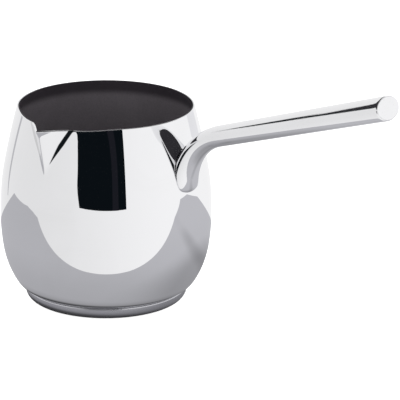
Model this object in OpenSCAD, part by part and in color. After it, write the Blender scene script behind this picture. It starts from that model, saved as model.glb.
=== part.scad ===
// Polished steel pouring pot with a sandwich base, a pinched pouring lip
// and a long hollow handle welded to the wall, a quarter turn from the lip.
// Millimetres, +Z up. The origin is on the pot's axis, on the ground.

/* [Pot wall] */
// Height of the rim above the ground
rim_h = 131.7; // [128:0.1:135]
// Largest outer radius of the belly
belly_r = 70; // [68:0.5:73]
// Height of the widest place of the belly
belly_h = 61.2; // [59:0.1:63]
// Radius of the long curve up and down the belly
belly_arc = 170.6; // [160:0.1:180]
// Radius of the flatter curve that leads to the rim
neck_arc = 572; // [500:1:650]
// Slope from vertical at which the belly gives way to the neck
neck_from = 10.8; // [10:0.1:12]
// Radius of the tighter curve under the belly
heel_arc = 60.6; // [57:0.1:64]
// Slope from vertical at which the belly gives way to the heel
heel_from = 8.1; // [7:0.1:10]
// Radius of the fillet between the heel and the flat bottom
toe_arc = 14.2; // [13:0.1:15]
// Thickness of the steel wall
wall_t = 1.2; // [0.8:0.1:1.6]
// Thickness of the dark coat inside
coat_t = 0.3; // [0.2:0.1:0.5]

/* [Pouring lip] */
// How far the tip of the lip stands from the axis, outside
lip_reach = 74.6; // [72:0.1:78]
// Half angle of the rim that the lip opens
lip_open = 19; // [16:0.1:21]
// How far the creases run down the wall from the rim
lip_drop = 32; // [26:0.5:36]

/* [Base] */
// Largest radius of the base cap
cap_r = 53.6; // [53.4:0.1:54]
// Radius of the round edge between the cap's bottom and its side
cap_arc = 6.4; // [6:0.1:7]
// Height at which the cap's side ends and its bead begins
cap_side = 7.2; // [7:0.1:7.6]
// Radius of the bead that turns the cap's edge in against the wall
bead_r = 1.2; // [1:0.1:1.4]
// Thickness of the cap's steel
cap_t = 0.8; // [0.6:0.1:1]
// Height of the pot's own flat bottom, which is the top of the disc
disc_top = 7.2; // [7:0.1:7.6]

/* [Handle] */
// How far the handle's outer end stands from the axis
grip_reach = 217.6; // [210:0.1:225]
// Height of the middle of the handle's outer end
grip_h = 166.7; // [165:0.1:168]
// Slope of the straight grip
grip_slope = 17.8; // [17:0.1:19]
// Length of the straight grip
grip_len = 132.4; // [128:0.1:134]
// Radius of the bend towards the wall
bend_arc = 38.8; // [37:0.1:41]
// Angle of the bend
bend_turn = 65.1; // [63:0.1:67]
// Length of the foot after the bend
foot_len = 12.7; // [12:0.1:14]
// How far the foot turns in again to the wall
foot_turn = 21.7; // [18:0.1:26]
// Half width of the grip at its outer end
end_w = 12.7; // [11:0.1:14]
// Half thickness of the grip at its outer end
end_t = 7.9; // [7:0.1:9]
// Half width of the grip where the bend starts
neck_w = 10.8; // [10:0.1:12]
// Half thickness of the grip where the bend starts
neck_t = 6.9; // [6:0.1:8]
// Half width of the foot
foot_w = 13.1; // [12:0.1:14]
// Thickness of the handle's sheet
tube_t = 1; // [0.8:0.1:1.4]
// Thickness of the plates that close the handle
plate_t = 1.5; // [1:0.1:2]
// Space between the wall and the handle, bridged by the welds
weld_gap = 0.3; // [0.2:0.1:0.4]
// Radius of a spot weld
weld_r = 2.5; // [2:0.1:3]

/* [Hidden] */

steel = [0.82, 0.83, 0.85];
bright_steel = [0.88, 0.89, 0.91];
dull_steel = [0.62, 0.63, 0.65];
dark_coat = [0.2, 0.18, 0.19];
alloy = [0.74, 0.75, 0.77];

// The wall's outline is four arcs that run into each other.
belly_c = [belly_r - belly_arc, belly_h];
neck_c = belly_c + (belly_arc - neck_arc) * [cos(neck_from), sin(neck_from)];
heel_c = belly_c + (belly_arc - heel_arc) * [cos(heel_from), -sin(heel_from)];
toe_from = asin((disc_top + toe_arc - heel_c.y) / (heel_arc - toe_arc));
toe_c = heel_c + (heel_arc - toe_arc) * [cos(toe_from), sin(toe_from)];

// Points of an arc from angle a to angle b, in n steps.
function arc(c, r, a, b, n) =
    [for (i = [0:n]) c + r * [cos(a + (b - a) * i / n), sin(a + (b - a) * i / n)]];

// Angle on the neck arc at height h, for a surface inset from the outside.
function neck_angle(h, inset) = asin((h - neck_c.y) / (neck_arc - inset));

// Points after the first of a list, so that arcs share their ends.
function rest(p) = [for (i = [1:len(p) - 1]) p[i]];

// Half section of the pot up to height top, inset from its outside.
function outline(inset, top) = concat(
    [[0, disc_top + inset]],
    arc(toe_c, toe_arc - inset, -90, toe_from, 6),
    rest(arc(heel_c, heel_arc - inset, toe_from, -heel_from, 8)),
    rest(arc(belly_c, belly_arc - inset, -heel_from, neck_from, 10)),
    rest(arc(neck_c, neck_arc - inset, neck_from, neck_angle(top, inset), 4)),
    [[0, top]]
);

// Outer radius of the belly or the neck at height h, standing off by off.
function wall_r(h, off) =
    h > belly_c.y + (belly_arc + off) * sin(neck_from)
    ? neck_c.x + sqrt(pow(neck_arc + off, 2) - pow(h - neck_c.y, 2))
    : belly_c.x + sqrt(pow(belly_arc + off, 2) - pow(h - belly_c.y, 2));

// How high the hollow is drawn past the rim, so that it cuts cleanly.
past_rim = 6;

module pot_solid(inset, top) {
    rotate_extrude($fn = 120) polygon(outline(inset, top));
}

// The lip is one corner of a pyramid that stands on its point on the wall.
lip_foot = [0, -wall_r(rim_h - lip_drop, 0), rim_h - lip_drop];
lip_tip = [0, -lip_reach, rim_h];
rim_r = wall_r(rim_h, 0);
lip_side = [rim_r * sin(lip_open), -rim_r * cos(lip_open), rim_h];
// Where the lines from the foot through the tip and the sides reach past_rim.
lip_grow = (lip_drop + past_rim) / lip_drop;

function grown(p) = lip_foot + lip_grow * (p - lip_foot);
function flip_x(p) = [-p.x, p.y, p.z];

// Sideways run of the lip's face is followed on into the hollow, so that
// no edge of the pyramid lies on the wall.
function beyond(p, from) = p + 0.6 * (p - from);

module lip_solid(inset) {
    face = cross(lip_side - lip_foot, lip_tip - lip_foot);
    slide = inset * norm(face) / abs(face.y);
    tip = grown(lip_tip);
    side = beyond(grown(lip_side), tip);
    back = [0, -rim_r * 0.3, tip.z];
    points = [lip_foot, tip, side, back, flip_x(side)];
    translate([0, slide, 0])
        polyhedron(points, [[0, 1, 2], [0, 4, 1], [0, 2, 3], [0, 3, 4], [4, 3, 2, 1]]);
}

// The pot with its lip, filled, inset from the outside.
module lipped_solid(inset) {
    union() {
        pot_solid(inset, rim_h + past_rim);
        lip_solid(inset);
    }
}

module below_rim() {
    translate([-100, -100, 0]) cube([200, 200, rim_h]);
}

module pot_body() {
    color(bright_steel) intersection() {
        difference() {
            lipped_solid(0);
            lipped_solid(wall_t);
        }
        below_rim();
    }
}

module nonstick_lining() {
    color(dark_coat) intersection() {
        difference() {
            lipped_solid(wall_t);
            lipped_solid(wall_t + coat_t);
        }
        below_rim();
    }
}

// How far the bead turns in.
bead_turn = 50;

// Shallow dish with a turned-in edge, inset from its outside.
module dish(inset) {
    edge_c = [cap_r - cap_arc, cap_arc];
    bead_c = [cap_r - bead_r, cap_side];
    bead = arc(bead_c, bead_r - inset, 0, bead_turn, 4);
    rotate_extrude($fn = 120) polygon(concat(
        [[0, inset]],
        arc(edge_c, cap_arc - inset, -90, 0, 10),
        bead,
        [[0, bead[4].y]]
    ));
}

module heat_spreader_disc() {
    color(alloy) difference() {
        dish(cap_t);
        pot_solid(0, rim_h);
    }
}

module base_cap() {
    color(steel) difference() {
        dish(0);
        dish(cap_t);
        pot_solid(0, rim_h);
    }
}

// The handle's centre line, in the plane y = 0. Distance s runs from its
// outer end inwards; steep is the slope of the line there.
bend_len = bend_arc * bend_turn * PI / 180;
foot_arc = foot_len / (foot_turn * PI / 180);
line_len = grip_len + bend_len + foot_len;
grip_end = [grip_reach, grip_h];
bend_end_slope = grip_slope + bend_turn;

// Point that an arc of signed radius r reaches as its slope goes from a to b.
function swing(r, a, b) = r * [sin(a) - sin(b), cos(b) - cos(a)];

function steep(s) =
    s < grip_len ? grip_slope
    : s < grip_len + bend_len ? grip_slope + (s - grip_len) / bend_arc * 180 / PI
    : bend_end_slope - (s - grip_len - bend_len) / foot_arc * 180 / PI;

bend_start = grip_end - grip_len * [cos(grip_slope), sin(grip_slope)];
bend_end = bend_start + swing(bend_arc, grip_slope, bend_end_slope);

function centre(s) =
    s < grip_len ? grip_end - s * [cos(grip_slope), sin(grip_slope)]
    : s < grip_len + bend_len ? bend_start + swing(bend_arc, grip_slope, steep(s))
    : bend_end + swing(-foot_arc, bend_end_slope, steep(s));

// Half width and half thickness of the section at s. The foot closes in a
// round tongue that starts at tongue_from.
tongue_len = foot_len * 0.65;
tongue_from = line_len - tongue_len;
function tongue(s) = sqrt(1 - pow(max(0, min(1, (s - tongue_from) / tongue_len)), 2));
function flare(s) = pow((s - grip_len) / (line_len - grip_len), 2);
function half_w(s) =
    s < grip_len ? end_w + (neck_w - end_w) * s / grip_len
    : neck_w + (foot_w - neck_w) * flare(s);
function half_t(s) = s < grip_len ? end_t + (neck_t - end_t) * s / grip_len : neck_t;

// Point of the skin at distance s and angle a round the section.
function skin(s, a, inset) =
    let (
        c = centre(s),
        up = (half_t(s) - inset) * tongue(s) * sin(a),
        out = (half_w(s) - inset) * tongue(s) * cos(a)
    )
    [c.x - up * sin(steep(s)), out, c.y + up * cos(steep(s))];

// Distance at which the skin line at angle a meets the wall standing off by
// off, found by halving between a place outside and one inside.
function outside(p, off) = norm([p.x, p.y]) > wall_r(p.z, off);
function meets(a, inset, off, near, far, n = 18) =
    n == 0 ? (near + far) / 2
    : outside(skin((near + far) / 2, a, inset), off)
    ? meets(a, inset, off, (near + far) / 2, far, n - 1)
    : meets(a, inset, off, near, (near + far) / 2, n - 1);

sides = 36;
rings = 40;
angles = [for (i = [0:sides - 1]) i * 360 / sides];

// Distance at which the skin line at angle a ends at the foot.
function foot_at(a, inset, off) = meets(a, inset, off, grip_len, line_len);

// Rings of the skin from the outer end to the foot.
function skin_rings(inset) = [
    for (k = [0:rings], a = angles)
        skin(foot_at(a, inset, weld_gap) * k / rings, a, inset)
];

// Triangles between ring k and ring k + 1 of a stack whose points start at base.
function band(k, base, inwards) = [
    for (i = [0:sides - 1])
        let (
            p = base + k * sides + i,
            q = base + k * sides + (i + 1) % sides
        )
        each inwards
        ? [[p, p + sides, q], [q, p + sides, q + sides]]
        : [[p, q, p + sides], [q, q + sides, p + sides]]
];

// Triangles between ring k of one stack and the same ring of another.
function mouth(k, base, other, inwards) = [
    for (i = [0:sides - 1])
        let (
            p = base + k * sides + i,
            q = base + k * sides + (i + 1) % sides,
            r = other + k * sides + i,
            s = other + k * sides + (i + 1) % sides
        )
        each inwards ? [[p, r, q], [q, r, s]] : [[p, q, r], [q, s, r]]
];

module handle_tube() {
    inner = sides * (rings + 1);
    color(steel) polyhedron(
        concat(skin_rings(0), skin_rings(tube_t)),
        concat(
            [for (k = [0:rings - 1]) each band(k, 0, false)],
            [for (k = [0:rings - 1]) each band(k, inner, true)],
            mouth(0, 0, inner, true),
            mouth(rings, 0, inner, false)
        )
    );
}

module handle_end_plate() {
    face = [for (s = [0, plate_t], a = angles) skin(s, a, tube_t)];
    color(steel) polyhedron(
        face,
        concat(
            [[for (i = [0:sides - 1]) sides - 1 - i]],
            band(0, 0, false),
            [[for (i = [0:sides - 1]) sides + i]]
        )
    );
}

// Point with the given y and z on the wall standing off by off.
function on_wall(y, z, off) = [sqrt(pow(wall_r(z, off), 2) - y * y), y, z];

// Ring of a plate face: the tube's mouth shrunk by f about its middle.
function plate_ring(off, f) =
    let (
        edge = [for (a = angles) skin(foot_at(a, tube_t, off), a, tube_t)],
        mid = (edge[sides / 4].z + edge[3 * sides / 4].z) / 2
    )
    [for (p = edge) on_wall(p.y * f, mid + (p.z - mid) * f, off)];

module handle_foot_plate() {
    spread = [0.02, 0.35, 0.7, 1];
    levels = len(spread);
    points = concat(
        [for (f = spread) each plate_ring(weld_gap, f)],
        [for (i = [levels - 1:-1:0]) each plate_ring(weld_gap + plate_t, spread[i])]
    );
    color(dull_steel) polyhedron(
        points,
        concat(
            [[for (i = [0:sides - 1]) i]],
            [for (k = [0:2 * levels - 2]) each band(k, 0, true)],
            [[for (i = [0:sides - 1]) 2 * levels * sides - 1 - i]]
        )
    );
}

// Places of the welds: sideways and up from the middle of the foot.
weld_mid = 98;
weld_places = [[-5, 4], [5, 4], [0, -5]];

module spot_welds() {
    color(dull_steel) intersection() {
        for (p = weld_places)
            translate([40, p.x, weld_mid + p.y])
                rotate([0, 90, 0]) cylinder(h = 60, r = weld_r, $fn = 32);
        difference() {
            rotate_extrude($fn = 120) polygon(outline(-weld_gap, rim_h));
            pot_solid(0, rim_h + past_rim);
        }
    }
}

pot_body();
nonstick_lining();
heat_spreader_disc();
base_cap();
handle_tube();
handle_end_plate();
handle_foot_plate();
spot_welds();
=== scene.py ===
# Looks of the long-handled pouring pot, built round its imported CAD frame.
# Metres, +Z up. Origin on the pot's axis at ground level, handle towards +X, lip towards -Y.
import math

import bpy
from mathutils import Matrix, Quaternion, Vector


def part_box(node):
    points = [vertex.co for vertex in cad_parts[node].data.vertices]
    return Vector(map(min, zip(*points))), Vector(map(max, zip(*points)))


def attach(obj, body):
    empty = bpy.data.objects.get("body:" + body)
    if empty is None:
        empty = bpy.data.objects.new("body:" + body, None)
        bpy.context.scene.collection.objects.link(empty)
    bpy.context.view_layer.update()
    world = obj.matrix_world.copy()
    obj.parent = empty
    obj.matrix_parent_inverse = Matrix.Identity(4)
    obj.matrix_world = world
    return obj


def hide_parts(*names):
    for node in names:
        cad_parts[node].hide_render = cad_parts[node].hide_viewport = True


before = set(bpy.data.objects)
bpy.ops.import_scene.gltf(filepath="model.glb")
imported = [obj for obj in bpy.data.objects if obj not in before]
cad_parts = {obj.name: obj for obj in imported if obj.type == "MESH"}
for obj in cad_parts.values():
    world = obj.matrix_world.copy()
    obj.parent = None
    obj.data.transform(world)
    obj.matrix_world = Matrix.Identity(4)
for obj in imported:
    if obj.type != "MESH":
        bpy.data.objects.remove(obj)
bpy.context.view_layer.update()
mm = 0.001

potLow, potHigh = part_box("pot_body")
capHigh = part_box("base_cap")[1]


def clearSelection():
    if bpy.context.object and bpy.context.object.mode != "OBJECT":
        bpy.ops.object.mode_set(mode="OBJECT")
    bpy.ops.object.select_all(action="DESELECT")


def useModifier(piece, kind, **settings):
    modifier = piece.modifiers.new(kind.title(), kind)
    for name, value in settings.items():
        setattr(modifier, name, value)
    bpy.context.view_layer.objects.active = piece
    bpy.ops.object.modifier_apply(modifier=modifier.name)


def arcPoints(centre, radius, start, end, steps):
    turns = [math.radians(start + (end - start) * i / steps) for i in range(steps + 1)]
    return [(centre[0] + radius * math.cos(a), centre[1] + radius * math.sin(a)) for a in turns]


def easeIn(x, low, high):  # 0 at low, 1 at high, level at both ends
    t = min(1.0, max(0.0, (x - low) / (high - low)))
    return t * t * (3 - 2 * t)


def blendMax(a, b, width):  # the larger of two, with a round corner between them
    near = max(width - abs(a - b), 0) / width
    return max(a, b) + near * near * width / 4


# A ring drawn up through an outline of (radius, height), one extrusion at a time
def raiseRings(name, outline, columns):
    clearSelection()
    radius, height = outline[0]
    bpy.ops.mesh.primitive_circle_add(vertices=columns, radius=radius, location=(0, 0, height),
                                      rotation=(0, 0, math.radians(-90)))
    piece = bpy.context.object
    piece.name = piece.data.name = name
    bpy.ops.object.transform_apply(location=True, rotation=True, scale=True)
    bpy.ops.object.mode_set(mode="EDIT")
    bpy.ops.mesh.select_all(action="SELECT")
    for (r0, z0), (r1, z1) in zip(outline, outline[1:]):
        bpy.ops.mesh.extrude_region_move(TRANSFORM_OT_translate={"value": (0, 0, z1 - z0)})
        bpy.ops.transform.resize(value=(r1 / r0, r1 / r0, 1))
    bpy.ops.object.mode_set(mode="OBJECT")
    return piece


# Closes the ring of vertices numbered from first, with one flat face or a grid of them
def closeRing(piece, first, columns, grid=False):
    bpy.ops.object.mode_set(mode="EDIT")
    bpy.ops.mesh.select_all(action="DESELECT")
    bpy.ops.object.mode_set(mode="OBJECT")
    for v in piece.data.vertices[first:first + columns]:
        v.select = True
    bpy.ops.object.mode_set(mode="EDIT")
    bpy.ops.mesh.select_mode(type="VERT")
    if grid:
        bpy.ops.mesh.fill_grid(span=columns // 4)
    else:
        bpy.ops.mesh.edge_face_add()
    bpy.ops.object.mode_set(mode="OBJECT")


def faceOutwards(piece):
    bpy.ops.object.mode_set(mode="EDIT")
    bpy.ops.mesh.select_all(action="SELECT")
    bpy.ops.mesh.normals_make_consistent(inside=False)
    bpy.ops.object.mode_set(mode="OBJECT")


def smoothPiece(piece, angle):
    clearSelection()
    piece.select_set(True)
    bpy.context.view_layer.objects.active = piece
    bpy.ops.object.shade_smooth_by_angle(angle=math.radians(angle))


potShape = {
    "bellyRadius": potHigh.x,
    "bellyHeight": 61.2 * mm,
    "bellyArc": 170.6 * mm,
    "neckArc": 572 * mm,
    "neckFrom": 10.8,  # slopes from vertical, in degrees
    "heelArc": 60.6 * mm,
    "heelFrom": 8.1,
    "toeArc": 14.2 * mm,
    "floor": potLow.z,
    "rim": potHigh.z,
    "wall": 1.2 * mm,
    "coat": 0.3 * mm,
    "coatGap": 0.02 * mm,
    "rimEdge": 0.35 * mm,  # narrow last ring, which keeps the rim crisp
    "lipBand": 21,  # closer rings start this many times that below the rim
    "bottomRings": (0.5, 0.97),  # shares of the flat bottom's radius
    "rings": {"toe": 6, "heel": 9, "belly": 15, "neck": 10, "lip": 7},
    "columns": 144,
    "smooth": 50,  # degrees, sharper edges stay sharp
}


def offsetTowards(centre, distance, slope):
    a = math.radians(slope)
    return (centre[0] + distance * math.cos(a), centre[1] + distance * math.sin(a))


s = potShape
bellyCentre = (s["bellyRadius"] - s["bellyArc"], s["bellyHeight"])
neckCentre = offsetTowards(bellyCentre, s["bellyArc"] - s["neckArc"], s["neckFrom"])
heelCentre = offsetTowards(bellyCentre, s["bellyArc"] - s["heelArc"], -s["heelFrom"])
toeSlope = math.degrees(math.asin((s["floor"] + s["toeArc"] - heelCentre[1]) / (s["heelArc"] - s["toeArc"])))
toeCentre = offsetTowards(heelCentre, s["heelArc"] - s["toeArc"], toeSlope)


# Half section of the pot from the middle of its bottom to its rim, inset from the outside
def potOutline(inset):
    rings = s["rings"]
    neckArc = s["neckArc"] - inset
    rimSlope = math.degrees(math.asin((s["rim"] - neckCentre[1]) / neckArc))
    nearRim = math.degrees(s["rimEdge"] / s["neckArc"])
    lipSlope = rimSlope - s["lipBand"] * nearRim
    points = [(toeCentre[0] * share, s["floor"] + inset) for share in s["bottomRings"]]
    points += arcPoints(toeCentre, s["toeArc"] - inset, -90, toeSlope, rings["toe"])
    points += arcPoints(heelCentre, s["heelArc"] - inset, toeSlope, -s["heelFrom"], rings["heel"])[1:]
    points += arcPoints(bellyCentre, s["bellyArc"] - inset, -s["heelFrom"], s["neckFrom"], rings["belly"])[1:]
    points += arcPoints(neckCentre, neckArc, s["neckFrom"], lipSlope, rings["neck"])[1:]
    points += arcPoints(neckCentre, neckArc, lipSlope, rimSlope - nearRim, rings["lip"])[1:]
    points += arcPoints(neckCentre, neckArc, rimSlope - nearRim, rimSlope, 1)[1:]
    return points


# Outer radius of belly or neck at a height, standing off from the wall
def wallRadius(height, off=0.0):
    if height > bellyCentre[1] + (s["bellyArc"] + off) * math.sin(math.radians(s["neckFrom"])):
        return neckCentre[0] + math.sqrt((s["neckArc"] + off) ** 2 - (height - neckCentre[1]) ** 2)
    return bellyCentre[0] + math.sqrt((s["bellyArc"] + off) ** 2 - (height - bellyCentre[1]) ** 2)


# The lip: two flat faces that meet in a ridge, pinched out of the wall
lipShape = {
    "reach": -potLow.y,
    "drop": 32 * mm,  # from the rim down to where the creases run out
    "spread": 0.87,  # how fast the faces fall back to the side
    "flare": 2.6 * mm,  # extra throw of the ridge at the rim
    "flareHeight": 6 * mm,
    "flareSide": 10,  # degrees from the ridge at which the throw is gone
    "dip": 1.4 * mm,  # how far the rim sinks at the lip
    "widen": 1.8 * mm,  # how far the wall is drawn out beside the lip
    "beside": (15, 48),  # degrees from the ridge between which that fades
    "fadeHeight": 34 * mm,
    "faceSide": 40,  # no face beyond this many degrees from the ridge
    "ridgeRound": 0.005,
    "ridgeKeep": 0.8,  # share of that rounding given back as height
    "creaseRound": 0.9 * mm,
    "leastCrease": 5,  # degrees from the ridge
    "creaseColumn": 6,  # the column that is drawn to the crease
    "gatherFrom": 40 * mm,  # below the creases, where columns start to gather
    "gatherSide": 80,  # degrees from the ridge, beyond which no column moves
    "ridgeGap": 0.6,  # degrees from the ridge to the next column
    "creaseGap": 0.9,  # and from the crease
}


def ridgeRadius(height, inset):
    lip = lipShape
    low = s["rim"] - lip["drop"]
    start = wallRadius(low)
    share = (height - low) / lip["drop"]
    out = start + (lip["reach"] - lip["flare"] - start) * share
    return out - inset * math.sqrt(1 + lip["spread"] ** 2)


def ridgeThrow(height, side):
    lip = lipShape
    up = (height - s["rim"]) / lip["flareHeight"] + 1
    return lip["flare"] * max(0, up - side / lip["flareSide"]) ** 1.2


# Angle from the ridge at which the lip's face meets the wall
def creaseAngle(height, radius, inset):
    spread = lipShape["spread"]
    q = ridgeRadius(height, inset) / radius / math.sqrt(1 + spread ** 2)
    return math.degrees(math.atan(spread) - math.acos(min(1, q)))


def pinchLip(piece, inset):
    lip = lipShape
    low = s["rim"] - lip["drop"]
    start = low - lip["gatherFrom"]
    step = 360 / s["columns"]
    column, last = lip["creaseColumn"], lip["gatherSide"]
    plain = [0, step, (column - 1) * step, column * step, (column + 1) * step, last]
    for v in piece.data.vertices:
        x, y, z = v.co
        radius = math.hypot(x, y)
        angle = math.degrees(math.atan2(x, -y))
        side = abs(angle)
        if side > last or z < start:
            continue
        # columns gather along the ridge and the crease
        high = max(0, (z - s["rim"] + lip["fadeHeight"]) / lip["fadeHeight"]) ** 2
        meet = max(lip["leastCrease"], creaseAngle(z, radius + lip["widen"] * high, inset))
        drawn = [0, lip["ridgeGap"], meet - lip["creaseGap"], meet, meet + lip["creaseGap"], last]
        knots = [p + (d - p) * easeIn(z, start, low) for p, d in zip(plain, drawn)]
        k = max(i for i in range(len(plain) - 1) if side >= plain[i] - 1e-6)
        side = knots[k] + (knots[k + 1] - knots[k]) * (side - plain[k]) / (plain[k + 1] - plain[k])
        beside = 1 - easeIn(side, *lip["beside"])
        radius += lip["widen"] * beside * high
        a = math.radians(side)
        away = math.hypot(math.sin(a), lip["ridgeRound"]) - lip["ridgeRound"] * lip["ridgeKeep"]
        if side < lip["faceSide"]:
            face = (ridgeRadius(z, inset) + ridgeThrow(z, side)) / (math.cos(a) + lip["spread"] * away)
            radius = blendMax(radius, face, lip["creaseRound"])
        a = math.copysign(a, angle)
        v.co = (radius * math.sin(a), -radius * math.cos(a), z - lip["dip"] * beside * high)


def makeShell(name, inset, thickness):
    piece = raiseRings(name, potOutline(inset), s["columns"])
    closeRing(piece, 0, s["columns"], grid=True)
    faceOutwards(piece)
    pinchLip(piece, inset)
    useModifier(piece, "SOLIDIFY", thickness=thickness, offset=-1, use_even_offset=True)
    useModifier(piece, "SUBSURF", levels=1, render_levels=1)
    smoothPiece(piece, s["smooth"])
    return piece


potShell = makeShell("potShell", 0.0, s["wall"])
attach(potShell, "root")
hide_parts("pot_body")

darkCoat = makeShell("darkCoat", s["wall"] + s["coatGap"], s["coat"])
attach(darkCoat, "root")
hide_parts("nonstick_lining")
print("pot wall and coat done")


capShape = {
    "radius": capHigh.x,
    "edge": 6.4 * mm,
    "side": 7.2 * mm,  # height at which the bead begins
    "bead": 1.2 * mm,
    "beadTurn": 50,
    "sheet": 0.8 * mm,
    "edgeRings": 14,
    "beadRings": 8,
    "columns": 128,
    "smooth": 60,
}


def capOutline(inset):
    edgeCentre = (capShape["radius"] - capShape["edge"], capShape["edge"])
    beadCentre = (capShape["radius"] - capShape["bead"], capShape["side"])
    points = arcPoints(edgeCentre, capShape["edge"] - inset, -90, 0, capShape["edgeRings"])
    points += arcPoints(beadCentre, capShape["bead"] - inset, 0, capShape["beadTurn"], capShape["beadRings"])
    return points


capColumns = capShape["columns"]
capPoints = capOutline(0) + capOutline(capShape["sheet"])[::-1]
baseCap = raiseRings("baseCap", capPoints, capColumns)
closeRing(baseCap, 0, capColumns)
closeRing(baseCap, len(baseCap.data.vertices) - capColumns, capColumns)
faceOutwards(baseCap)
smoothPiece(baseCap, capShape["smooth"])
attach(baseCap, "root")
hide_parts("base_cap")
print("base cap done")


gripShape = {
    "end": (217.6 * mm, 166.7 * mm),  # middle of the outer end, out and up
    "slope": 17.8,
    "length": 132.4 * mm,
    "bendArc": 38.8 * mm,
    "bendTurn": 65.1,
    "footLength": 12.7 * mm,
    "footTurn": 21.7,
    "endHalf": (12.7 * mm, 7.9 * mm),  # half width, half thickness
    "neckHalf": (10.8 * mm, 6.9 * mm),
    "footWidth": 13.1 * mm,
    "tongue": 0.65,  # share of the foot that closes in a round tongue
    "gap": 0.3 * mm,
    "sheet": 1 * mm,
    "endRound": 0.9 * mm,
    "plate": 1.5 * mm,
    "plateBack": 0.02 * mm,  # how far the plate lies in from the end
    "plateGap": 0.03 * mm,
    "roundRings": (0.08, 0.3, 0.62, 1),  # shares of endRound
    "gripSpan": (0.04, 0.66, 12),  # shares of the whole length, and rings
    "bendRings": 36,
    "sides": 48,
    "smooth": 60,
    "plateSmooth": 30,
}
g = gripShape
bendLength = g["bendArc"] * math.radians(g["bendTurn"])
footArc = g["footLength"] / math.radians(g["footTurn"])
lineLength = g["length"] + bendLength + g["footLength"]
bendSlope = g["slope"] + g["bendTurn"]


def swing(radius, a, b):
    a, b = math.radians(a), math.radians(b)
    return Vector((radius * (math.sin(a) - math.sin(b)), radius * (math.cos(b) - math.cos(a))))


def alongSlope(slope):
    return Vector((math.cos(math.radians(slope)), math.sin(math.radians(slope))))


bendStart = Vector(g["end"]) - g["length"] * alongSlope(g["slope"])
bendEnd = bendStart + swing(g["bendArc"], g["slope"], bendSlope)


# Middle of the handle and its slope, at a distance in from the outer end
def centreLine(d):
    if d < g["length"]:
        return Vector(g["end"]) - d * alongSlope(g["slope"]), g["slope"]
    if d < g["length"] + bendLength:
        slope = g["slope"] + math.degrees((d - g["length"]) / g["bendArc"])
        return bendStart + swing(g["bendArc"], g["slope"], slope), slope
    slope = bendSlope - math.degrees((d - g["length"] - bendLength) / footArc)
    return bendEnd + swing(-footArc, bendSlope, slope), slope


def halfSizes(d):
    share = min(1, d / g["length"])
    wide, thick = (e + (n - e) * share for e, n in zip(g["endHalf"], g["neckHalf"]))
    if d > g["length"]:
        wide += (g["footWidth"] - wide) * ((d - g["length"]) / (lineLength - g["length"])) ** 2
    tongue = g["tongue"] * g["footLength"]
    close = min(1, max(0, (d - lineLength + tongue) / tongue))
    return wide * math.sqrt(1 - close ** 2), thick * math.sqrt(1 - close ** 2)


def skinPoint(d, angle, inset=0.0):
    middle, slope = centreLine(d)
    wide, thick = halfSizes(d)
    up = (thick - inset) * math.sin(angle)
    across = alongSlope(slope)
    return Vector((middle.x - up * across.y, (wide - inset) * math.cos(angle), middle.y + up * across.x))


# Distance at which the skin line at an angle meets the wall, by halving
def footDistance(angle):
    near, far = g["length"], lineLength
    for _ in range(24):  # far finer than a micron
        half = (near + far) / 2
        p = skinPoint(half, angle)
        if math.hypot(p.x, p.y) > wallRadius(p.z, g["gap"]):
            near = half
        else:
            far = half
    return near


# A straight bar first, as long as 1, then laid along the centre line
def makeHandle():
    clearSelection()
    bpy.ops.mesh.primitive_circle_add(vertices=g["sides"], radius=1)
    piece = bpy.context.object
    piece.name = piece.data.name = "handleBar"
    bpy.ops.object.mode_set(mode="EDIT")
    bpy.ops.mesh.select_all(action="SELECT")
    stations = [0] + [g["endRound"] * share / lineLength for share in g["roundRings"]]
    first, last, count = g["gripSpan"]
    stations += [first + (last - first) * i / count for i in range(count + 1)]
    stations += [last + (1 - last) * i / g["bendRings"] for i in range(1, g["bendRings"] + 1)]
    for a, b in zip(stations, stations[1:]):
        bpy.ops.mesh.extrude_region_move(TRANSFORM_OT_translate={"value": (0, 0, b - a)})
    bpy.ops.object.mode_set(mode="OBJECT")
    feet = {}
    for v in piece.data.vertices:
        angle = math.atan2(v.co.y, v.co.x)
        key = round(math.degrees(angle), 2)
        if key not in feet:
            feet[key] = footDistance(angle)
        d = v.co.z * feet[key]
        short = max(0, g["endRound"] - d)
        inset = g["endRound"] - math.sqrt(g["endRound"] ** 2 - short ** 2)
        v.co = skinPoint(d, angle, inset)
    faceOutwards(piece)
    return piece


handleBar = makeHandle()
useModifier(handleBar, "SOLIDIFY", thickness=g["sheet"], offset=-1, use_even_offset=True)
useModifier(handleBar, "SUBSURF", levels=1, render_levels=1)
smoothPiece(handleBar, g["smooth"])
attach(handleBar, "root")
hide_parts("handle_tube")


# The flat plate that closes the outer end, inside the rounded edge
def makeEndPlate():
    clearSelection()
    bpy.ops.mesh.primitive_circle_add(vertices=g["sides"] * 2, radius=1, fill_type="NGON")
    piece = bpy.context.object
    piece.name = piece.data.name = "handleEnd"
    bpy.ops.object.mode_set(mode="EDIT")
    bpy.ops.mesh.select_all(action="SELECT")
    bpy.ops.mesh.extrude_region_move(TRANSFORM_OT_translate={"value": (0, 0, 1)})
    bpy.ops.object.mode_set(mode="OBJECT")
    inset = g["endRound"] + g["plateGap"]
    for v in piece.data.vertices:
        v.co = skinPoint(v.co.z * g["plate"] + g["plateBack"], math.atan2(v.co.y, v.co.x), inset)
    bpy.ops.object.mode_set(mode="EDIT")
    bpy.ops.mesh.select_all(action="DESELECT")
    bpy.ops.mesh.select_mode(type="EDGE")
    bpy.ops.mesh.select_non_manifold()
    bpy.ops.mesh.edge_face_add()
    bpy.ops.object.mode_set(mode="OBJECT")
    faceOutwards(piece)
    smoothPiece(piece, g["plateSmooth"])
    return piece


handleEnd = makeEndPlate()
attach(handleEnd, "root")
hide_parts("handle_end_plate")
print("handle done")


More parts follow.
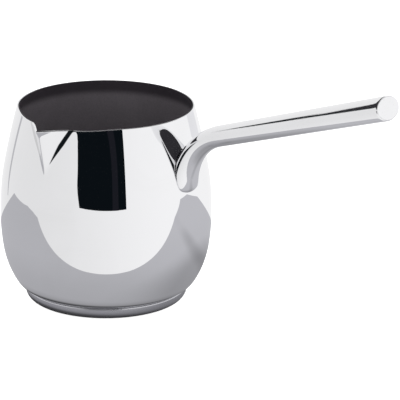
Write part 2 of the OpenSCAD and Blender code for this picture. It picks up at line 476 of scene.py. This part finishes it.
def addNode(tree, kind, **settings):  # settings are its sockets or its properties
    node = tree.nodes.new(kind)
    for name, value in settings.items():
        if name in node.inputs:
            node.inputs[name].default_value = value
        else:
            setattr(node, name, value)
    return node


def feed(tree, socket, value):  # value is another node's output, a number or a colour
    if isinstance(value, bpy.types.NodeSocket):
        tree.links.new(value, socket)
    else:
        socket.default_value = value


def maths(tree, operation, *values):
    node = addNode(tree, "ShaderNodeMath", operation=operation)
    for socket, value in zip(node.inputs, values):
        feed(tree, socket, value)
    return node.outputs[0]


def vectorMaths(tree, operation, *values):
    node = addNode(tree, "ShaderNodeVectorMath", operation=operation)
    for socket, value in zip(node.inputs, values):
        feed(tree, socket, value)
    return node.outputs["Vector" if operation == "MULTIPLY" else "Value"]


# Carries a value over from one range to another, with soft ends unless it is linear
def spanOver(tree, value, low, high, newLow=0.0, newHigh=1.0, kind="SMOOTHSTEP"):
    node = addNode(tree, "ShaderNodeMapRange", interpolation_type=kind)
    feed(tree, node.inputs["Value"], value)
    for label, number in (("From Min", low), ("From Max", high), ("To Min", newLow), ("To Max", newHigh)):
        node.inputs[label].default_value = number
    return node.outputs["Result"]


def addNoise(tree, place, scale, **settings):
    node = addNode(tree, "ShaderNodeTexNoise", **settings)
    feed(tree, node.inputs["Vector"], place)
    feed(tree, node.inputs["Scale"], scale)
    return node.outputs["Fac"]


def mixColours(tree, factor, a, b, blend="MIX"):
    node = addNode(tree, "ShaderNodeMix", data_type="RGBA", blend_type=blend)
    for label, value in (("Factor", factor), ("A", a), ("B", b)):
        feed(tree, node.inputs[label], value)
    return node.outputs["Result"]


def shadeRamp(tree, value, shades):  # shades are (place, colour)
    node = addNode(tree, "ShaderNodeValToRGB")
    feed(tree, node.inputs["Fac"], value)
    elements = node.color_ramp.elements
    elements[0].position = shades[0][0]
    elements[1].position = shades[-1][0]
    for place, _ in shades[1:-1]:
        elements.new(place)
    for element, (_, colour) in zip(elements, shades):
        element.color = (*colour, 1)
    return node.outputs["Color"]


def addBump(tree, shader, height, strength, depth):
    bump = addNode(tree, "ShaderNodeBump", Strength=strength, Distance=depth)
    feed(tree, bump.inputs["Height"], height)
    feed(tree, shader.inputs["Normal"], bump.outputs["Normal"])


def newGroup(name, inputs, outputs):  # inputs are numbers, and None for a vector
    group = bpy.data.node_groups.new(name, "ShaderNodeTree")
    for label, value in inputs.items():
        kind = "NodeSocketVector" if value is None else "NodeSocketFloat"
        socket = group.interface.new_socket(label, in_out="INPUT", socket_type=kind)
        if value is not None:
            socket.default_value = value
    for label in outputs:
        group.interface.new_socket(label, in_out="OUTPUT", socket_type="NodeSocketFloat")
    return group, group.nodes.new("NodeGroupInput"), group.nodes.new("NodeGroupOutput")


# Buffing lines round the axis and faint finger smears, for every polished piece
buffingShape = {
    "inputs": {"Vector": None, "Line Pitch": 900.0, "Smear Size": 22.0, "Polish": 0.02, "Smear": 0.04},
    "stretch": (0.02, 0.02, 1),  # draws the noise out into level lines
    "patches": (0.48, 0.75),  # noise between which a smear fades in
    "waveSize": 22.0,
    "lineDepth": 0.004,  # share of the waves' height
}


def makeBuffing():
    b = buffingShape
    group, given, out = newGroup("buffing", b["inputs"], ("Roughness", "Height", "Haze"))
    place = given.outputs["Vector"]
    stretched = vectorMaths(group, "MULTIPLY", place, b["stretch"])
    lines = addNoise(group, stretched, given.outputs["Line Pitch"], Detail=3.0, Roughness=0.6)
    smears = addNoise(group, place, given.outputs["Smear Size"], Detail=5.0, Roughness=0.55, Distortion=0.8)
    haze = maths(group, "MULTIPLY", spanOver(group, smears, *b["patches"], kind="LINEAR"), lines)
    dull = maths(group, "MULTIPLY_ADD", haze, given.outputs["Smear"], given.outputs["Polish"])
    waves = addNoise(group, place, b["waveSize"], Detail=1.0)
    height = maths(group, "MULTIPLY_ADD", lines, b["lineDepth"], waves)
    for label, value in (("Roughness", dull), ("Height", height), ("Haze", haze)):
        feed(group, out.inputs[label], value)
    return group


buffing = makeBuffing()

# Painted reflection: a dark line painted into the crease on each side of the lip's ridge, drawn in mm up and
# degrees round from the ridge
creaseReflectionShape = {
    "bottom": 107,
    "start": 3,  # degrees at the bottom
    "turn": 0.44,  # degrees for each mm up
    "curl": 0.004,  # and how that grows
    "mmPerDegree": 1.065,
    "half": 1.6,  # half width
    "point": (1 / 14, 0.05),  # opens over 14 mm, from nearly nothing
    "soft": 0.25,
    "weak": 0.25,  # strength on the side away from the handle
    "middle": 1 * mm,  # width over which the strength changes
    "dark": (0.006, 0.008, 0.010),
}


# 1 in the painted crease reflection and 0 elsewhere
def makeCreaseReflectionMask():
    f = creaseReflectionShape
    group, given, out = newGroup("creaseReflectionMask", {"Vector": None}, ("Mask",))
    split = addNode(group, "ShaderNodeSeparateXYZ")
    feed(group, split.inputs[0], given.outputs["Vector"])
    x, y, z = split.outputs
    turn = maths(group, "ARCTAN2", maths(group, "ABSOLUTE", x), maths(group, "MULTIPLY", y, -1))
    side = maths(group, "MULTIPLY", turn, 180 / math.pi)
    up = maths(group, "MULTIPLY_ADD", z, 1 / mm, -f["bottom"])
    bend = maths(group, "MULTIPLY_ADD", up, f["curl"], f["turn"])
    paintedLine = maths(group, "MULTIPLY_ADD", bend, up, f["start"])
    off = maths(group, "ABSOLUTE", maths(group, "SUBTRACT", side, paintedLine))
    off = maths(group, "MULTIPLY", off, f["mmPerDegree"])
    opened = maths(group, "MINIMUM", maths(group, "MULTIPLY_ADD", up, *f["point"]), 1)
    past = maths(group, "SUBTRACT", off, maths(group, "MULTIPLY", opened, f["half"]))
    mask = spanOver(group, past, f["soft"], -f["soft"])
    inside = maths(group, "MULTIPLY", mask, maths(group, "GREATER_THAN", up, 0))
    weight = spanOver(group, x, -f["middle"], f["middle"], f["weak"], 1.0, kind="LINEAR")
    feed(group, out.inputs["Mask"], maths(group, "MULTIPLY", inside, weight))
    return group


creaseReflectionMask = makeCreaseReflectionMask()


def startMaterial(name):
    material = bpy.data.materials.new(name)
    material.use_nodes = True
    tree = material.node_tree
    where = tree.nodes.new("ShaderNodeTexCoord")
    return material, tree, tree.nodes["Principled BSDF"], where.outputs["Object"]


# Colour of the clean metal and under a smear, values for the buffing, and depth of the waves
steelLooks = {
    "mirrorSteel": {"clean": (0.84, 0.84, 0.855), "hazed": (0.8, 0.8, 0.81), "wave": 0.07 * mm,
                    "marks": {"Line Pitch": 900, "Polish": 0.012, "Smear": 0.05}},
    "gripSteel": {"clean": (0.84, 0.84, 0.855), "hazed": (0.8, 0.8, 0.81), "wave": 0.03 * mm,
                  "marks": {"Line Pitch": 700, "Polish": 0.045, "Smear": 0.08}},
    "capSteel": {"clean": (0.56, 0.56, 0.59), "hazed": (0.48, 0.48, 0.50), "wave": 0.01 * mm,
                 "marks": {"Line Pitch": 1200, "Polish": 0.26, "Smear": 0.14}},
    "millAluminium": {"clean": (0.78, 0.79, 0.8), "hazed": (0.7, 0.71, 0.72), "wave": 0.02 * mm,
                      "marks": {"Line Pitch": 600, "Polish": 0.35, "Smear": 0.2}},
    "plainSteel": {"clean": (0.6, 0.6, 0.61), "hazed": (0.5, 0.5, 0.5), "wave": 0.02 * mm,
                   "marks": {"Line Pitch": 500, "Polish": 0.4, "Smear": 0.2}},
}


def makeSteel(name, creaseReflection=False):
    look = steelLooks[name]
    material, tree, shader, place = startMaterial(name)
    marks = addNode(tree, "ShaderNodeGroup", node_tree=buffing, **look["marks"])
    feed(tree, marks.inputs["Vector"], place)
    colour = mixColours(tree, marks.outputs["Haze"], (*look["clean"], 1), (*look["hazed"], 1))
    # Painted reflection: the crease beside the lip's ridge is painted near black, standing in for something
    # dark mirrored in it
    if creaseReflection:
        paintedLine = addNode(tree, "ShaderNodeGroup", node_tree=creaseReflectionMask)
        feed(tree, paintedLine.inputs["Vector"], place)
        colour = mixColours(tree, paintedLine.outputs["Mask"], colour, (*creaseReflectionShape["dark"], 1))
    feed(tree, shader.inputs["Base Color"], colour)
    shader.inputs["Metallic"].default_value = 1.0
    feed(tree, shader.inputs["Roughness"], marks.outputs["Roughness"])
    addBump(tree, shader, marks.outputs["Height"], 1.0, look["wave"])
    return material


coatLook = {
    "cloud": 18.0,
    "fleck": 900.0,
    "fleckShare": 0.45,
    "shades": [(0.5, (0.135, 0.122, 0.136)), (0.95, (0.20, 0.183, 0.202))],
    "band": (120 * mm, 126 * mm),  # painted shade: the darker band under the rim, where the inner wall faces down, fades in between these heights
    "bandShade": (0.26, 0.24, 0.27),
    "roughness": (0.5, 0.62),
    "bump": 0.5,
    "grain": 0.03 * mm,
}


def makeCoat():
    look = coatLook
    material, tree, shader, place = startMaterial("darkCoatFinish")
    cloud = addNoise(tree, place, look["cloud"], Detail=4.0)
    fleck = addNoise(tree, place, look["fleck"], Detail=2.0)
    both = maths(tree, "MULTIPLY_ADD", fleck, look["fleckShare"], cloud)
    split = addNode(tree, "ShaderNodeSeparateXYZ")
    feed(tree, split.inputs[0], place)
    band = spanOver(tree, split.outputs["Z"], *look["band"])
    colour = shadeRamp(tree, both, look["shades"])
    # Painted shade: the coat is darkened in the band under the rim, where the inner wall faces down, away
    # from the light
    colour = mixColours(tree, band, colour, (*look["bandShade"], 1), blend="MULTIPLY")
    feed(tree, shader.inputs["Base Color"], colour)
    feed(tree, shader.inputs["Roughness"], spanOver(tree, cloud, 0.0, 1.0, *look["roughness"], kind="LINEAR"))
    addBump(tree, shader, fleck, look["bump"], look["grain"])
    return material


def paint(piece, material):
    piece.data.materials.clear()
    piece.data.materials.append(material)


gripSteel = makeSteel("gripSteel")
plainSteel = makeSteel("plainSteel")
paint(potShell, makeSteel("mirrorSteel", creaseReflection=True))
paint(darkCoat, makeCoat())
paint(baseCap, makeSteel("capSteel"))
paint(handleBar, gripSteel)
paint(handleEnd, gripSteel)
paint(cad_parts["heat_spreader_disc"], makeSteel("millAluminium"))
paint(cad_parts["handle_foot_plate"], plainSteel)
paint(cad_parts["spot_welds"], plainSteel)
print("materials done")


cameraShape = {
    "spot": Vector((1.2591, -1.6709, 0.7403)),
    "aim": Vector((0.0760, 0.0, 0.0802)),
    "roll": 0.365,  # degrees
    "lens": 299.25,
    "sensor": 36,
}


def makeCamera():
    spot = cameraShape["spot"]
    lens = bpy.data.cameras.new("camera")
    lens.sensor_width = cameraShape["sensor"]
    lens.lens = cameraShape["lens"]
    camera = bpy.data.objects.new("camera", lens)
    bpy.context.scene.collection.objects.link(camera)
    camera.rotation_mode = "QUATERNION"
    camera.location = spot
    towards = (cameraShape["aim"] - spot).to_track_quat("-Z", "Y")
    camera.rotation_quaternion = towards @ Quaternion((0, 0, 1), math.radians(cameraShape["roll"]))
    bpy.context.scene.camera = camera


makeCamera()

# Directions on the floor: towards the front of the studio, and to its right
forward = Vector((cameraShape["spot"].x, cameraShape["spot"].y, 0)).normalized()
rightward = Vector((-forward.y, forward.x, 0))


def glowMaterial(name, colour):
    material = bpy.data.materials.new(name)
    material.use_nodes = True
    tree = material.node_tree
    tree.nodes.clear()
    glow = addNode(tree, "ShaderNodeEmission", Color=(*colour, 1), Strength=1.0)
    out = tree.nodes.new("ShaderNodeOutputMaterial")
    feed(tree, out.inputs["Surface"], glow.outputs["Emission"])
    return material


# A flat card of the studio that only shows in the polished steel
def mirroredCard(name, corners, material):
    clearSelection()
    bpy.ops.mesh.primitive_circle_add(vertices=len(corners), fill_type="NGON")
    card = bpy.context.object
    card.name = name
    for point, place in zip(card.data.vertices, corners):
        point.co = place
    card.data.materials.append(material)
    card.visible_camera = False
    card.visible_diffuse = False
    card.visible_shadow = False
    card.visible_transmission = False


# White all round, a little dimmer on the left for everything but the camera
worldShape = {"left": 0.88, "right": 1.06}


def makeWorld():
    world = bpy.data.worlds.new("studioWhite")
    bpy.context.scene.world = world
    world.use_nodes = True
    tree = world.node_tree
    backdrop = tree.nodes["Background"]
    backdrop.inputs["Color"].default_value = (1, 1, 1, 1)
    where = tree.nodes.new("ShaderNodeTexCoord")
    sideways = vectorMaths(tree, "DOT_PRODUCT", where.outputs["Generated"], tuple(rightward))
    light = spanOver(tree, sideways, -1.0, 1.0, worldShape["left"], worldShape["right"], kind="LINEAR")
    path = tree.nodes.new("ShaderNodeLightPath")
    feed(tree, backdrop.inputs["Strength"], maths(tree, "MAXIMUM", light, path.outputs["Is Camera Ray"]))


makeWorld()
bpy.context.scene.view_settings.view_transform = "Standard"

# The white floor, which glows so that no shadow greys it
floorShape = {"size": 12.0, "height": -0.05 * mm, "grey": 0.7, "roughness": 0.9, "glow": 0.9}


def makeFloor():
    f = floorShape
    clearSelection()
    bpy.ops.mesh.primitive_plane_add(size=f["size"], location=(0, 0, f["height"]))
    floor = bpy.context.object
    floor.name = "floor"
    material = bpy.data.materials.new("floorPaint")
    material.use_nodes = True
    shader = material.node_tree.nodes["Principled BSDF"]
    shader.inputs["Base Color"].default_value = (f["grey"], f["grey"], f["grey"], 1)
    shader.inputs["Roughness"].default_value = f["roughness"]
    shader.inputs["Emission Color"].default_value = (1, 1, 1, 1)
    shader.inputs["Emission Strength"].default_value = f["glow"]
    floor.data.materials.append(material)
    floor.visible_glossy = False


makeFloor()

# The grey table top that the polished wall mirrors. Distances are forward or rightward.
tableShape = {
    "front": (112 * mm, 120 * mm),  # at the sides and in the middle, as the edge bows
    "bow": 110 * mm,
    "frontHalf": 345 * mm,
    "frontSteps": 24,
    "corners": [(90, 480), (75, 640), (-40, 640), (-140, 400), (-150, 0),
                (-170, -430), (20, -450), (80, -400)],  # in mm, the other sides
    "lift": 0.1 * mm,
    "shades": [(0.235, 0.02), (0.264, 0.10), (0.284, 0.38), (0.32, 0.48), (0.5, 0.52), (0.7, 0.55)],
    "shadeReach": 200 * mm,  # distance from the pot's middle that the shades run over
    "shadeLean": 0.05,  # how much wider the dark foot is on the left
    "blue": 1.05,
    "light": (-0.06, 0.3, 0.93, 1.06),  # from one place rightward to another, and how light there
    "handleSide": (-0.127, 0.992, 0),  # across the handle's shadow
    "handleMiddle": 76 * mm,
    "handleShadow": (2 * mm, 32 * mm, 0.8, 1.0),
    "handleNear": (0, 40 * mm),
    "handleFar": (140 * mm, 250 * mm, 1.0, 0.15),
    "potMiddle": (35 * mm, 50 * mm, 0),
    "potShadow": (50 * mm, 110 * mm, 0.72, 1.0),
}


def tableCorners():
    t = tableShape
    side, middle = t["front"]
    lift = Vector((0, 0, t["lift"]))
    corners = []
    for i in range(t["frontSteps"] + 1):
        across = t["frontHalf"] * (2 * i / t["frontSteps"] - 1)
        out = side + (middle - side) * math.exp(-(across / t["bow"]) ** 2)
        corners.append(forward * out + rightward * across + lift)
    for out, across in t["corners"]:
        corners.append(forward * (out * mm) + rightward * (across * mm) + lift)
    return corners


def makeTable():
    t = tableShape
    material = glowMaterial("tableGrey", (1, 1, 1))
    tree = material.node_tree
    glow = tree.nodes["Emission"]
    place = tree.nodes.new("ShaderNodeTexCoord").outputs["Object"]
    # darker towards the foot of the pot
    sideways = vectorMaths(tree, "DOT_PRODUCT", place, tuple(rightward))
    reach = maths(tree, "MULTIPLY_ADD", sideways, t["shadeLean"], vectorMaths(tree, "LENGTH", place))
    shades = [(spot, (level, level, level * t["blue"])) for spot, level in t["shades"]]
    colour = shadeRamp(tree, maths(tree, "MULTIPLY", reach, 1 / t["shadeReach"]), shades)
    light = spanOver(tree, sideways, *t["light"])
    # soft shadow of the handle, thrown back from it
    across = vectorMaths(tree, "DOT_PRODUCT", place, t["handleSide"])
    off = maths(tree, "ABSOLUTE", maths(tree, "SUBTRACT", across, t["handleMiddle"]))
    shadow = spanOver(tree, off, *t["handleShadow"])
    split = addNode(tree, "ShaderNodeSeparateXYZ")
    feed(tree, split.inputs[0], place)
    near = spanOver(tree, split.outputs["X"], *t["handleNear"])
    strength = maths(tree, "MULTIPLY", near, spanOver(tree, split.outputs["X"], *t["handleFar"]))
    faded = addNode(tree, "ShaderNodeMix", data_type="FLOAT")
    for label, value in (("A", 1.0), ("Factor", strength), ("B", shadow)):
        feed(tree, faded.inputs[label], value)
    light = maths(tree, "MULTIPLY", light, faded.outputs["Result"])
    # and the pot's own, behind it to the right
    apart = vectorMaths(tree, "DISTANCE", place, t["potMiddle"])
    light = maths(tree, "MULTIPLY", light, spanOver(tree, apart, *t["potShadow"]))
    feed(tree, glow.inputs["Strength"], light)
    feed(tree, glow.inputs["Color"], colour)
    mirroredCard("tableTop", tableCorners(), material)


makeTable()

# The dark room beyond the front of the studio, with a little light on one side of it
darkShape = {
    "distance": 950 * mm,
    "sides": (-500 * mm, 363 * mm),
    "top": 620 * mm,
    "lean": 0.45,
    "colour": (0.0036, 0.0056, 0.0076),
    "stripSides": (110 * mm, 215 * mm),
    "stripNearer": 5 * mm,
    "stripColour": (0.012, 0.0125, 0.017),
}


def makeDarkRoom():
    d = darkShape
    up = Vector((0, 0, d["top"]))
    base = forward * d["distance"]
    left, right = (base + rightward * across for across in d["sides"])
    lean = rightward * (-d["lean"] * d["top"])
    corners = [left, right, right + up, left + lean + up]
    mirroredCard("darkRoom", corners, glowMaterial("darkRoom", d["colour"]))
    base -= forward * d["stripNearer"]
    left, right = (base + rightward * across for across in d["stripSides"])
    corners = [left, right, right + up, left + up]
    mirroredCard("darkStrip", corners, glowMaterial("darkStripGlow", d["stripColour"]))


makeDarkRoom()

# Far things at the sides, drawn in (turn from the front, elevation) as seen from the handle
farShape = {
    "distance": 4.0,
    "from": Vector((0.15, 0, 0.145)),
    "cards": {
        "farBeam": {"colour": (0.02, 0.022, 0.025),
                    "outline": [(-99, 30), (-109, 33), (-115, 34), (-137, 32.5),
                                (-139, 34.5), (-126, 36), (-118, 40), (-103, 40)]},
        "farPole": {"colour": (0.55, 0.55, 0.57),
                    "outline": [(-134, -14), (-132.5, -14), (-131.5, -2), (-139, -2)]},
        "farPanel": {"colour": (0.88, 0.88, 0.9),
                     "outline": [(126, -5), (150, -12), (150, 25), (126, 25)]},
    },
}


def farPoint(turn, rise):
    turn, rise = math.radians(turn), math.radians(rise)
    flat = forward * math.cos(turn) + rightward * math.sin(turn)
    away = flat * math.cos(rise) + Vector((0, 0, math.sin(rise)))
    return farShape["from"] + farShape["distance"] * away


for name, card in farShape["cards"].items():
    mirroredCard(name, [farPoint(*corner) for corner in card["outline"]], glowMaterial(name, card["colour"]))

# Dark ceiling, which the handle and its foot mirror
ceilingShape = {"height": 2.1, "radius": 2.55, "columns": 48, "colour": (0.036, 0.034, 0.039)}


def makeCeiling():
    c = ceilingShape
    ring = arcPoints((0, 0), c["radius"], 0, 360, c["columns"])[:-1]
    mirroredCard("ceiling", [(x, y, c["height"]) for x, y in ring], glowMaterial("ceilingDark", c["colour"]))


makeCeiling()
print("studio done")
